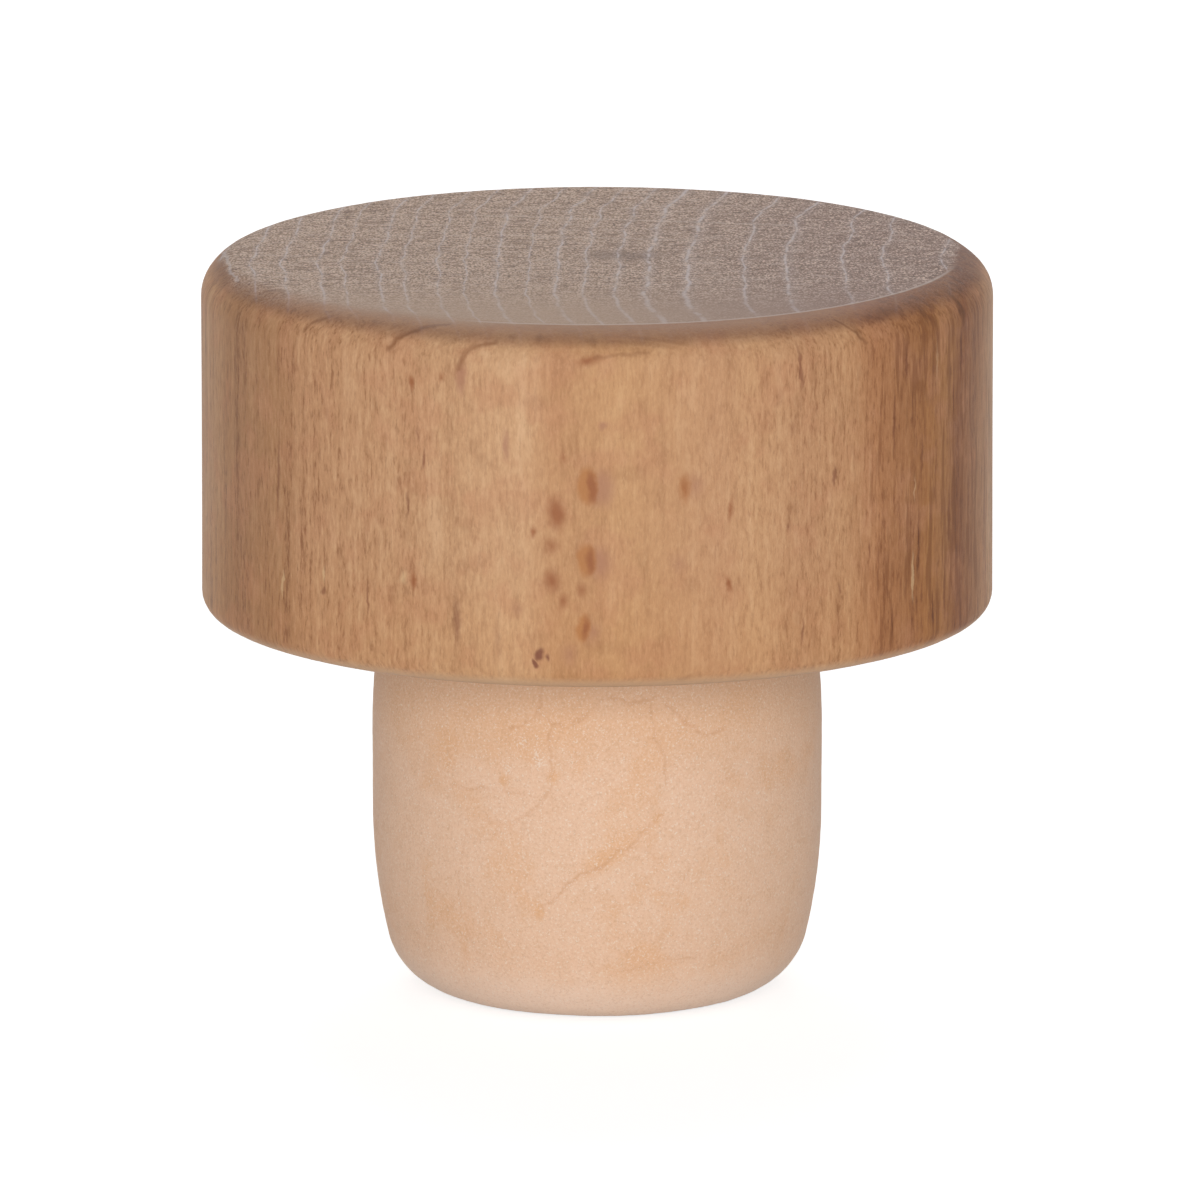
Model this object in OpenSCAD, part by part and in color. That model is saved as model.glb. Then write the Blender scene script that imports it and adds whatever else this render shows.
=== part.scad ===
// Bar-top bottle stopper: a turned wooden head glued on a moulded synthetic cork shank.
// Millimetres. +Z runs up the axis, and the origin is the centre of the shank's flat foot.

/* [Wooden head] */
// Diameter of the head
head_d = 34.2; // [28:0.1:45]
// Height of the head, from its underside to its flat top
head_h = 15.5; // [12:0.1:25]
// Rounding of the head's top edge
head_top_round = 1.7; // [0.5:0.1:3]
// Rounding of the head's lower edge
head_lower_round = 0.9; // [0.3:0.1:2]

/* [Cork shank] */
// Diameter of the straight band that seals in the bottle neck
band_d = 19.5; // [19:0.1:23]
// Length of the straight band
band_length = 3.5; // [1:0.1:5]
// Distance from the head's underside down to the band
band_drop = 5; // [2:0.1:6]
// Length of shank below the head's underside
shank_length = 16.7; // [16:0.1:25]
// Diameter of the shank at the head's underside and inside the socket
root_d = 18.6; // [15:0.1:18.9]
// Diameter that the curve below the band would come in to at the foot, if its edge were square
foot_d = 16.8; // [14:0.1:18.9]
// Rounding of the foot's edge
foot_round = 3.2; // [1:0.1:4]

/* [Glued joint] */
// Depth of the socket in the head's underside
socket_depth = 4; // [2:0.1:8]
// Gap round the shank in its socket, which the glue fills
glue_gap = 0.1; // [0.05:0.05:0.3]

/* [Hidden] */
$fn = 128;

// How far a cutter runs past the face that it opens
cut_past = 1;
// How far the foot's rounding stands proud of the curve above it, so that the two outlines cross
blend = 0.005;

head_r = head_d / 2;
band_r = band_d / 2;
root_r = root_d / 2;
socket_r = root_r + glue_gap;

// Heights above the foot
underside_z = shank_length;
socket_floor_z = underside_z + socket_depth;
band_top_z = underside_z - band_drop;
band_low_z = band_top_z - band_length;

// Radius of an arc that leaves an upright line and comes in by `inset` over `rise`
function easing_radius(rise, inset) = (pow(rise, 2) + pow(inset, 2)) / (2 * inset);

neck_curve_r = easing_radius(band_drop, band_r - root_r);
foot_curve_r = easing_radius(band_low_z, band_r - foot_d / 2);

// Centre of the foot's rounding, which touches the foot's plane and the curve above it
foot_round_reach = foot_curve_r - foot_round + blend;
foot_round_x = band_r - foot_curve_r + sqrt(pow(foot_round_reach, 2) - pow(band_low_z - foot_round, 2));
foot_round_top_z = band_low_z - (band_low_z - foot_round) * foot_curve_r / foot_round_reach;

module wooden_head() {
    color("#b98a5e") translate([0, 0, underside_z]) difference() {
        rotate_extrude() wooden_head_section();
        translate([0, 0, -cut_past]) cylinder(r = socket_r, h = socket_depth + cut_past);
    }
}

// Half section of the turned blank, from its underside up
module wooden_head_section() {
    difference() {
        square([head_r, head_h]);
        translate([head_r, 0]) edge_waste(head_lower_round);
        translate([head_r, head_h]) mirror([0, 1]) edge_waste(head_top_round);
    }
}

// What a rounding takes off the lower right corner of a section, with that corner at the origin
module edge_waste(round) {
    translate([-round, round]) difference() {
        translate([0, -2 * round]) square([2 * round, 2 * round]);
        circle(r = round);
    }
}

module cork_shank() {
    color("#e3bb9b") rotate_extrude() cork_shank_section();
}

// Half section of the shank: a straight band between two shallow curves, a rounded foot and a straight root
module cork_shank_section() {
    translate([0, band_top_z]) square([root_r, socket_floor_z - band_top_z]);
    side_curve(neck_curve_r, band_top_z, band_top_z, socket_floor_z);
    translate([0, band_low_z]) square([band_r, band_length]);
    side_curve(foot_curve_r, band_low_z, foot_round_top_z, band_low_z);
    square([foot_round_x, band_low_z]);
    foot_rounding();
}

// A curve of radius r that leaves the band's side at arc_z, kept between two heights
module side_curve(r, arc_z, low_z, high_z) {
    intersection() {
        translate([band_r - r, arc_z]) circle(r = r);
        translate([0, low_z]) square([band_r, high_z - low_z]);
    }
}

module foot_rounding() {
    intersection() {
        translate([foot_round_x, foot_round]) circle(r = foot_round);
        square([band_r, band_low_z]);
    }
}

wooden_head();
cork_shank();
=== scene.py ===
"""A bottle stopper: a turned beech head glued on a synthetic cork shank.

The CAD model gives both pieces their place and their outer shape. This script stands a finely
divided piece in for each, with the relief of wood fibres and moulded foam cut into it, gives
both a procedural material, and adds a floor, two lights and a camera.

Lengths are in metres, in the CAD frame, unless a name says mm. The camera looks along +Y, so
the front of the stopper is its -Y side, and an angle "round the stopper" is 0 at the front and
grows towards +X.
"""
import math

import bpy
import numpy as np
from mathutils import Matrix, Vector, noise


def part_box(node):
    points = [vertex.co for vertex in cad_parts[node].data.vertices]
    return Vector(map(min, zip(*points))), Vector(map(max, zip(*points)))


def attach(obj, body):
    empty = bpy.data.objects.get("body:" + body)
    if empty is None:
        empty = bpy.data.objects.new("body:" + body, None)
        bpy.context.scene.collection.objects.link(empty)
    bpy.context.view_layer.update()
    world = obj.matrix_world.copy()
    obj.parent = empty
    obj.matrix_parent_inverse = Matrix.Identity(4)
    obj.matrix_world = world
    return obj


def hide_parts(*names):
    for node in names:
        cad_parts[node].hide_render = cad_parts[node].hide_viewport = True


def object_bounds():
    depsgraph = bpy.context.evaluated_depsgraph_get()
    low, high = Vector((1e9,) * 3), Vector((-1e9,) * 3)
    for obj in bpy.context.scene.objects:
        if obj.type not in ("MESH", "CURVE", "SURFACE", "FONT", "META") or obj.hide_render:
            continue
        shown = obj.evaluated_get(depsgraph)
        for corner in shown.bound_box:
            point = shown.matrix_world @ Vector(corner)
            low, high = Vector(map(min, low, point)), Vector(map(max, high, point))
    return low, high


MM = 0.001
PER_MM = 1000.0

# Shapes that the boxes of the CAD nodes don't give, as they are in the part's source.
TOP_ROUND = 1.7 * MM
LOWER_ROUND = 0.9 * MM
SOCKET_R = 9.4 * MM
BAND_LENGTH = 3.5 * MM
BAND_DROP = 5.0 * MM
ROOT_R = 9.3 * MM
FOOT_R = 8.4 * MM
FOOT_ROUND = 3.2 * MM

# How finely the two pieces are divided. The head has 193,000 triangles, and 200,000 is the most.
HEAD_CELLS = 150
SHANK_CELLS = 96
SIDE_STEPS = 52
TOP_ROUND_STEPS = 14
LOWER_ROUND_STEPS = 8
UNDERSIDE_STEPS = 10
SOCKET_STEPS = 2
ROOT_ROWS = 4
SHANK_STEP = 0.17 * MM

# The relief: how deep it is, and how often it comes in a mm along X, Y and Z. All of it goes into
# the solid, so the pieces stay in the CAD box.
WAVE_DEPTH = 0.03 * MM
WAVES_PER_MM = (0.15, 0.15, 0.1)
FIBRE_DEPTH = 0.012 * MM
FIBRES_PER_MM = (2.4, 2.4, 0.2)
DIMPLE_DEPTH = 0.03 * MM
DIMPLES_PER_MM = (0.3, 0.3, 0.3)
PEBBLE_DEPTH = 0.02 * MM
PEBBLES_PER_MM = (2.2, 2.2, 2.2)

# The head's flat top drops by a shoulder where its haze ends: how deep the drop is, where it starts
# and is full, in mm past the haze's radius, and how far down the rounded edge it reaches.
SHOULDER_DEPTH = 0.05 * MM
SHOULDER_STARTS_MM = -0.4
SHOULDER_FULL_MM = 0.6
SHOULDER_TALL_MM = 1.0

# Edges sharper than this stay sharp when a piece is shaded smooth.
SHARP_ANGLE = math.radians(40)

# The head's relief stops this far outside the socket's wall.
SOCKET_MARGIN_MM = 0.2

# Relief that is finer than the mesh.
BUMP_DEPTH = 0.03 * MM

# The photograph's view.
CAMERA_ELEVATION = math.radians(12.1)
CAMERA_DISTANCE = 1.0
VIEW_WIDTH = 51.9 * MM
SENSOR_MM = 36.0
AIM_RIGHT = 0.123 * MM
AIM_UP = 0.31 * MM


# ---------------------------------------------------------------- meshes


def disc(cells):
    """A disc of radius 1 as a square grid bent round, so that no triangle is a sliver.

    Returns its points, its faces, and its rim's point numbers in order round the disc.
    """
    steps = np.linspace(-1.0, 1.0, cells + 1)
    u, v = np.meshgrid(steps, steps, indexing="ij")
    reach = np.maximum(np.abs(u), np.abs(v))
    safe = np.where(reach > 0, reach, 1.0)
    wide = np.abs(u) >= np.abs(v)
    slant = np.where(wide, v, u) / safe
    angle = slant * math.pi / 4
    along = reach * np.cos(angle)
    across = reach * np.sin(angle)
    x = np.where(wide, np.sign(u) * along, across)
    y = np.where(wide, across, np.sign(v) * along)
    points = np.column_stack([x.ravel(), y.ravel()])
    number = np.arange((cells + 1) ** 2).reshape(cells + 1, cells + 1)
    faces = np.column_stack(
        [
            number[:-1, :-1].ravel(),
            number[1:, :-1].ravel(),
            number[1:, 1:].ravel(),
            number[:-1, 1:].ravel(),
        ]
    )
    rim = np.concatenate(
        [number[-1, :-1], number[:0:-1, -1], number[0, :0:-1], number[:-1, 0]]
    )
    return points, faces, rim


def turned(name, outline, cells):
    """A closed mesh turned from an outline of (radius, height) rows, with gridded discs as ends.

    The outline starts at the edge of the upper disc. It ends at the edge of the lower disc.
    """
    flat, flat_faces, rim = disc(cells)
    around = flat[rim]
    columns = len(rim)
    first_r, first_z = outline[0]
    last_r, last_z = outline[-1]
    upper = np.column_stack([flat * first_r, np.full(len(flat), first_z)])
    rows = [
        np.column_stack([around * r, np.full(columns, z)]) for r, z in outline[1:-1]
    ]
    lower = np.column_stack([flat * last_r, np.full(len(flat), last_z)])
    places = np.concatenate([upper, *rows, lower])
    lower_start = len(upper) + columns * len(rows)
    loops = [rim]
    loops += [len(upper) + columns * k + np.arange(columns) for k in range(len(rows))]
    loops += [lower_start + rim]
    faces = [flat_faces, lower_start + flat_faces[:, ::-1]]
    for above, below in zip(loops, loops[1:]):
        faces.append(
            np.column_stack([above, below, np.roll(below, -1), np.roll(above, -1)])
        )
    mesh = bpy.data.meshes.new(name)
    mesh.from_pydata(places.tolist(), [], np.concatenate(faces).tolist())
    mesh.validate()
    mesh.update()
    piece = bpy.data.objects.new(name, mesh)
    bpy.context.scene.collection.objects.link(piece)
    return piece


def arc(centre_r, centre_z, radius, start, end, steps):
    """Outline rows on an arc, without its first point. Angles are in degrees, 0 outward, 90 up."""
    angles = np.radians(np.linspace(start, end, steps + 1)[1:])
    return [
        (centre_r + radius * math.cos(a), centre_z + radius * math.sin(a))
        for a in angles
    ]


def straight(start, end, steps):
    """Outline rows on a line, without its first point."""
    shares = np.linspace(0.0, 1.0, steps + 1)[1:]
    return [
        (start[0] + (end[0] - start[0]) * t, start[1] + (end[1] - start[1]) * t)
        for t in shares
    ]


def head_outline(r, bottom, top, socket_top):
    """The head's outline, from the edge of its flat top round to the floor of its socket."""
    flat_r = r - TOP_ROUND
    side_top = top - TOP_ROUND
    side_bottom = bottom + LOWER_ROUND
    inner_r = r - LOWER_ROUND
    rows = [(flat_r, top)]
    rows += arc(flat_r, side_top, TOP_ROUND, 90, 0, TOP_ROUND_STEPS)
    rows += straight((r, side_top), (r, side_bottom), SIDE_STEPS)
    rows += arc(inner_r, side_bottom, LOWER_ROUND, 0, -90, LOWER_ROUND_STEPS)
    rows += straight((inner_r, bottom), (SOCKET_R, bottom), UNDERSIDE_STEPS)
    rows += straight((SOCKET_R, bottom), (SOCKET_R, socket_top), SOCKET_STEPS)
    return rows


def shank_radius(z, band_r, band_bottom, band_top):
    """The shank's radius at a height, from the part's source: straight band, bulged above and below."""
    neck_drop = band_r - ROOT_R
    neck_bulge = (BAND_DROP**2 + neck_drop**2) / (2 * neck_drop)
    foot_drop = band_r - FOOT_R
    foot_bulge = (band_bottom**2 + foot_drop**2) / (2 * foot_drop)
    if z > band_top + BAND_DROP:
        return ROOT_R
    if z > band_top:
        return band_r - neck_bulge + math.sqrt(neck_bulge**2 - (z - band_top) ** 2)
    if z > band_bottom:
        return band_r
    bulge_r = band_r - foot_bulge
    reach = foot_bulge - FOOT_ROUND
    fall = band_bottom - FOOT_ROUND
    if z > FOOT_ROUND - FOOT_ROUND * fall / reach:
        return bulge_r + math.sqrt(foot_bulge**2 - (band_bottom - z) ** 2)
    round_r = bulge_r + math.sqrt(reach**2 - fall**2)
    return round_r + math.sqrt(FOOT_ROUND**2 - (FOOT_ROUND - z) ** 2)


def shank_outline(band_r, lip, top):
    """The shank's outline, from its flat root down to its flat foot."""
    band_top = lip - BAND_DROP
    band_bottom = band_top - BAND_LENGTH
    buried = np.linspace(top, lip, ROOT_ROWS)
    shown = np.linspace(lip, FOOT_ROUND, round((lip - FOOT_ROUND) / SHANK_STEP))[1:]
    turn = np.linspace(90, 0, round(FOOT_ROUND * math.pi / 2 / SHANK_STEP))[1:]
    rounded = FOOT_ROUND * (1 - np.cos(np.radians(turn)))
    heights = np.concatenate([buried, shown, rounded])
    return [(shank_radius(z, band_r, band_bottom, band_top), z) for z in heights]


def smooth_step(value, start, end):
    """0 before start, 1 after end, and a smooth rise between them."""
    t = np.clip((value - start) / (end - start), 0.0, 1.0)
    return t * t * (3 - 2 * t)


def relief(place, often):
    """Smooth noise from about 0 to 1 at a place in mm."""
    x, y, z = place
    return noise.noise(Vector((x * often[0], y * often[1], z * often[2]))) * 0.5 + 0.5


def press_in(piece, depth):
    """Moves each point of a piece into the solid, by depth(its place in mm), and shades it smooth."""
    mesh = piece.data
    normals = [v.normal.copy() for v in mesh.vertices]
    for vertex, normal in zip(mesh.vertices, normals):
        vertex.co -= normal * depth(vertex.co * PER_MM)
    mesh.set_sharp_from_angle(angle=SHARP_ANGLE)
    mesh.update()
    mesh.polygons.foreach_set("use_smooth", [True] * len(mesh.polygons))


# ---------------------------------------------------------------- nodes


class Tree:
    """A material's nodes, with a short call for each kind that the materials use."""

    def __init__(self, name):
        self.material = bpy.data.materials.new(name)
        self.material.use_nodes = True
        self.tree = self.material.node_tree
        self.shader = self.tree.nodes["Principled BSDF"]

    def node(self, kind, inputs, **settings):
        """A node with its settings and its inputs, which are sockets to link or plain values."""
        made = self.tree.nodes.new(kind)
        for name, value in settings.items():
            setattr(made, name, value)
        for key, value in inputs.items():
            self.put(made.inputs[key], value)
        return made

    def put(self, socket, value):
        if isinstance(value, bpy.types.NodeSocket):
            self.tree.links.new(value, socket)
        else:
            socket.default_value = value

    def same_all_over(self, values):
        """Sets the shader's values that don't change from place to place."""
        for name, value in values.items():
            self.shader.inputs[name].default_value = value

    def maths(self, operation, *values):
        inputs = dict(enumerate(values))
        return self.node("ShaderNodeMath", inputs, operation=operation).outputs[0]

    def vector(self, operation, *values):
        inputs = dict(enumerate(values))
        return self.node("ShaderNodeVectorMath", inputs, operation=operation).outputs[0]

    def length(self, vector):
        return self.node(
            "ShaderNodeVectorMath", {0: vector}, operation="LENGTH"
        ).outputs["Value"]

    def distance(self, first, second):
        return self.maths("ABSOLUTE", self.maths("SUBTRACT", first, second))

    def mixed_value(self, share, first, second):
        return self.node("ShaderNodeMix", {0: share, 2: first, 3: second}).outputs[0]

    def joined(self, x, y, z):
        return self.node("ShaderNodeCombineXYZ", {"X": x, "Y": y, "Z": z}).outputs[0]

    def split(self, vector):
        return self.node("ShaderNodeSeparateXYZ", {"Vector": vector}).outputs

    def place_mm(self):
        """Where a point of the piece is, in millimetres in the CAD frame."""
        where = self.node("ShaderNodeTexCoord", {}).outputs["Object"]
        return self.vector("MULTIPLY", where, (PER_MM, PER_MM, PER_MM))

    def round_side(self, x, y, radius_mm):
        """How far round the stopper a point is from its front, in mm at the radius."""
        turn = self.maths("ARCTAN2", x, self.maths("MULTIPLY", y, -1.0))
        return self.maths("MULTIPLY", turn, radius_mm)

    def noise(self, vector, scale, detail=2.0, roughness=0.5):
        inputs = {
            "Vector": vector,
            "Scale": scale,
            "Detail": detail,
            "Roughness": roughness,
        }
        return self.node("ShaderNodeTexNoise", inputs).outputs

    def wander(self, place, scale, detail):
        """Noise as a vector, from -0.5 to 0.5 along each axis."""
        colour = self.noise(place, scale, detail)["Color"]
        return self.vector("SUBTRACT", colour, (0.5, 0.5, 0.5))

    def eased(self, value, low, high, to_low=0.0, to_high=1.0):
        """A smooth change from to_low to to_high as value goes from low to high."""
        inputs = {0: value, 1: low, 2: high, 3: to_low, 4: to_high}
        return self.node(
            "ShaderNodeMapRange", inputs, interpolation_type="SMOOTHSTEP"
        ).outputs[0]

    def ramp(self, value, stops):
        """Colours by position: stops are (position, (red, green, blue)), in linear values.

        The first two stops are the ends, because a new ramp has its two ends already.
        """
        made = self.node("ShaderNodeValToRGB", {"Fac": value})
        band = made.color_ramp
        for k, (position, colour) in enumerate(stops):
            stop = band.elements[k] if k < 2 else band.elements.new(position)
            stop.position = position
            stop.color = (*colour, 1.0)
        return made.outputs["Color"]

    def mixed(self, share, first, second, blend="MIX"):
        made = self.node("ShaderNodeMix", {}, data_type="RGBA", blend_type=blend)
        self.put(made.inputs[0], share)
        for socket, colour in ((made.inputs[6], first), (made.inputs[7], second)):
            self.put(socket, (*colour, 1.0) if isinstance(colour, tuple) else colour)
        return made.outputs[2]

    def times(self, colour, shares):
        """A colour with its red, green and blue each multiplied."""
        return self.mixed(1.0, colour, shares, "MULTIPLY")

    def tinted(self, base, value, low, high, strength, colour):
        """The base, and more of the colour as value goes from low to high: strength at most."""
        return self.mixed(self.eased(value, low, high, 0.0, strength), base, colour)

    def bump(self, height, strength):
        """Relief too fine for the mesh."""
        inputs = {"Strength": strength, "Distance": BUMP_DEPTH, "Height": height}
        made = self.node("ShaderNodeBump", inputs)
        self.put(self.shader.inputs["Normal"], made.outputs["Normal"])

    def stroke(self, plane, centre, lean, tall, wide):
        """1 in the middle of an oval on a plane in mm, 0 outside it. It stands up unless it leans."""
        inputs = {
            "Vector": plane,
            "Location": (*centre, 0.0),
            "Rotation": (0.0, 0.0, math.radians(-lean)),
            "Scale": (wide / 2, tall / 2, 1.0),
        }
        local = self.node("ShaderNodeMapping", inputs, vector_type="TEXTURE").outputs[0]
        return self.node(
            "ShaderNodeTexGradient", {"Vector": local}, gradient_type="SPHERICAL"
        ).outputs["Fac"]

    def marks(self, plane, rows):
        """The strongest of several marks, each row (across, up, lean, tall, wide, strength)."""
        total = 0.0
        for across, up, lean, tall, wide, strength in rows:
            one = self.stroke(plane, (across, up), lean, tall, wide)
            one = self.maths("MULTIPLY", one, strength)
            total = self.maths("MAXIMUM", total, one)
        return total

    def to_segment(self, plane, start, end):
        """How far a point of the plane is from a straight piece of line, in mm."""
        run, rise = end[0] - start[0], end[1] - start[1]
        inputs = {
            "Vector": plane,
            "Location": (*start, 0.0),
            "Rotation": (0.0, 0.0, math.atan2(rise, run)),
        }
        local = self.node("ShaderNodeMapping", inputs, vector_type="TEXTURE").outputs[0]
        nearest = self.vector("MAXIMUM", local, (0.0, 0.0, 0.0))
        nearest = self.vector("MINIMUM", nearest, (math.hypot(run, rise), 0.0, 0.0))
        return self.node(
            "ShaderNodeVectorMath", {0: local, 1: nearest}, operation="DISTANCE"
        ).outputs["Value"]

    def lines(self, plane, rows):
        """Soft lines through points of the plane, each row (width, strength, points)."""
        total = 0.0
        for width, strength, points in rows:
            gap = width
            for start, end in zip(points, points[1:]):
                gap = self.maths("MINIMUM", gap, self.to_segment(plane, start, end))
            line = self.eased(gap, 0.0, width / 2, strength, 0.0)
            total = self.maths("MAXIMUM", total, line)
        return total


# ---------------------------------------------------------------- beech

# Marks on the head: (mm round the side from the front, mm above the underside and on over the
# rounded edge, lean in degrees, tall, wide, strength).
ORANGE_FLECKS = [
    (-0.42, 8.95, 0, 2.1, 1.2, 1.0),
    (-0.45, 5.7, 0, 1.9, 1.1, 1.0),
    (-0.6, 2.75, 8, 1.6, 0.9, 0.9),
    (3.75, 8.75, 0, 2.0, 0.9, 0.5),
]
BROWN_FLECKS = [
    (-0.2, 8.85, -4, 2.1, 0.6, 0.75),
    (-0.3, 5.65, 0, 1.9, 0.6, 0.65),
    (-0.5, 2.75, 8, 1.5, 0.5, 0.6),
    (3.75, 8.75, 0, 2.0, 0.7, 0.35),
    (-1.75, 7.7, -6, 2.2, 1.1, 0.65),
    (-2.75, 6.9, 0, 0.9, 0.45, 0.5),
    (-1.9, 4.8, -6, 1.7, 1.1, 0.55),
    (-1.95, 6.3, 0, 1.3, 1.1, 0.4),
    (-0.65, 4.4, 0, 1.1, 0.7, 0.4),
    (-1.5, 3.9, 10, 1.3, 0.7, 0.45),
    (-1.45, 10.1, 0, 1.1, 0.6, 0.35),
    (5.8, 7.7, 6, 1.6, 0.4, 0.5),
    (5.7, 4.5, -8, 1.0, 0.45, 0.6),
    (-8.15, 4.4, 0, 1.1, 0.4, 0.6),
    (-8.2, 13.0, 0, 1.0, 0.4, 0.6),
    (-6.8, 13.4, 0, 0.7, 0.4, 0.4),
    (-0.4, 14.35, 80, 1.6, 0.7, 0.55),
]
# Soft reddish patches: partly the flecks' own colour, and partly painted shadow on the right of the
# flecks.
SOFT_FLECKS_AND_SHADOWS = [
    (0.2, 8.8, 0, 2.3, 1.7, 1.0),
    (0.1, 5.6, 0, 2.1, 1.5, 0.9),
    (-0.2, 2.6, 0, 1.8, 1.2, 0.7),
    (4.2, 8.8, 0, 1.8, 1.4, 0.6),
    (3.5, 5.5, 0, 1.4, 1.4, 0.5),
    (-1.2, 1.6, 0, 1.6, 1.2, 0.6),
    (0.25, 11.5, 0, 0.6, 0.6, 0.8),
    (-3.9, 10.6, 0, 2.0, 0.5, 0.9),
    (-5.9, 13.4, 0, 2.2, 0.7, 1.0),
    (-3.4, 3.5, 0, 1.0, 0.8, 0.5),
]
SPINDLES = [
    (-6.1, 2.8, 0, 2.8, 0.55, 0.8),
    (-4.3, 2.2, 0, 3.4, 0.6, 0.35),
    (-7.65, 9.7, 4, 1.2, 0.25, 0.9),
    (-7.9, 10.8, 0, 1.2, 0.3, 0.5),
    (-8.4, 7.7, 0, 2.0, 0.22, 0.7),
    (-10.4, 3.4, 0, 1.8, 0.18, 0.8),
    (-12.9, 3.4, 0, 0.5, 0.4, 0.9),
    (9.1, 13.6, -4, 2.6, 0.26, 1.0),
    (8.7, 11.0, 5, 1.3, 0.35, 0.4),
    (10.8, 8.7, 0, 1.2, 0.3, 1.0),
    (8.5, 6.7, 0, 0.5, 0.25, 0.6),
    (11.1, 3.7, 0, 0.9, 0.25, 0.7),
    (9.2, 2.1, 0, 1.6, 0.25, 0.8),
    (12.8, 5.2, 0, 1.2, 0.2, 0.8),
    (13.3, 4.5, 0, 4.0, 0.25, 0.5),
    (14.3, 10.5, 0, 3.4, 0.3, 0.8),
    (15.1, 12.9, 0, 3.0, 0.3, 0.8),
    (14.2, 1.8, 0, 2.0, 0.25, 0.7),
    (16.2, 8.7, 0, 3.2, 0.25, 0.8),
    (16.0, 4.8, 0, 4.6, 0.22, 0.8),
    (17.1, 1.9, 0, 2.2, 0.25, 0.9),
    (18.1, 2.4, 0, 3.6, 0.3, 0.9),
    (18.5, 5.6, 0, 3.4, 0.4, 1.0),
    (18.9, 10.5, 0, 4.0, 0.25, 0.7),
    (19.7, 12.5, 0, 3.4, 0.4, 1.0),
    (20.6, 6.0, 0, 5.0, 0.3, 0.6),
    (-15.8, 8.0, 2, 6.0, 0.3, 0.7),
]
PALE_STROKES = [
    (-15.5, 3.3, 6, 1.6, 0.25, 1.0),
    (-12.9, 4.1, 0, 1.0, 0.2, 0.8),
    (-8.6, 4.5, 0, 1.1, 0.6, 0.6),
    (15.6, 3.6, 0, 3.0, 0.25, 0.9),
    (15.7, 7.4, 2, 1.8, 0.2, 0.5),
    (17.4, 12.6, 0, 3.0, 0.3, 0.4),
]
BLEMISH = [
    (-2.45, 1.6, 25, 0.9, 0.55, 0.8),
    (-2.65, 1.15, -25, 0.6, 0.35, 1.0),
    (-2.1, 1.4, -8, 0.5, 0.3, 0.6),
]
# Lines where rings cross the rounded edge: (width, strength, points).
HOOKS = [
    (0.5, 0.8, [(-9.4, 14.4), (-9.0, 14.9), (-8.5, 15.3), (-7.8, 15.8), (-7.1, 16.1)]),
    (0.45, 0.6, [(-6.0, 13.8), (-5.8, 14.5), (-5.4, 14.8), (-4.5, 15.1)]),
    (0.3, 0.4, [(-0.1, 14.5), (1.1, 14.6), (2.2, 14.7)]),
    (0.4, 0.6, [(-14.2, 14.6), (-13.8, 15.1), (-13.3, 15.4)]),
    (0.3, 0.7, [(12.6, 14.2), (12.2, 14.7), (11.8, 15.2), (11.5, 15.6)]),
]
SMUDGES = [
    (-3.8, 15.4, 0, 1.0, 0.6, 0.9),
    (-2.6, 15.4, 0, 1.0, 0.6, 0.9),
    (-0.2, 15.3, 0, 0.9, 0.7, 0.8),
    (2.1, 15.4, 0, 0.9, 0.8, 0.6),
    (3.9, 15.4, 0, 0.9, 0.8, 0.4),
    (8.7, 15.4, 0, 1.0, 0.7, 0.7),
    (14.4, 15.4, 80, 3.4, 1.0, 1.0),
    (16.9, 15.1, 10, 1.8, 0.9, 1.0),
    (20.0, 14.6, 0, 2.8, 0.9, 1.0),
    (12.3, 14.9, 0, 2.0, 0.6, 0.6),
]
# Lines on the flat top, in mm to the right of the axis and behind it.
PALE_RAYS = [
    (0.5, 0.8, [(-4.9, 9.0), (1.6, 8.0), (8.5, 6.9)]),
    (0.4, 0.7, [(-3.9, 4.6), (4.4, 3.5)]),
    (0.4, 0.5, [(1.5, -5.2), (8.0, -5.0)]),
]
DARK_RAYS = [
    (0.8, 0.6, [(4.1, -0.4), (15.1, -0.5)]),
    (0.7, 0.5, [(-10.4, -1.3), (-6.1, -1.5)]),
    (3.4, 1.0, [(0.4, 0.2), (1.8, 0.0)]),
]
# A ring line over the left edge, pale partly with a painted sheen.
EDGE_LINES = [
    (0.25, 0.5, [(-16.2, 2.6), (-15.9, -0.5), (-15.8, -2.6), (-15.4, -4.6)]),
]

# The plain wood from 0 on the left of the head to 1 on its right: (place, colour), the ends first.
WOOD_COLOURS = [
    (0.0, (0.58, 0.33, 0.18)),
    (1.0, (0.56, 0.325, 0.185)),
    (0.035, (0.42, 0.215, 0.105)),
    (0.092, (0.44, 0.22, 0.105)),
    (0.115, (0.55, 0.29, 0.15)),
    (0.26, (0.57, 0.32, 0.17)),
    (0.36, (0.62, 0.36, 0.195)),
    (0.40, (0.54, 0.285, 0.14)),
    (0.48, (0.57, 0.31, 0.15)),
    (0.61, (0.55, 0.295, 0.155)),
    (0.66, (0.58, 0.32, 0.165)),
    (0.72, (0.53, 0.28, 0.145)),
    (0.78, (0.55, 0.29, 0.145)),
    (0.82, (0.46, 0.21, 0.095)),
    (0.87, (0.39, 0.17, 0.071)),
    (0.90, (0.385, 0.163, 0.059)),
    (0.93, (0.395, 0.178, 0.069)),
    (0.95, (0.28, 0.11, 0.045)),
    (0.97, (0.37, 0.175, 0.085)),
]

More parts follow.
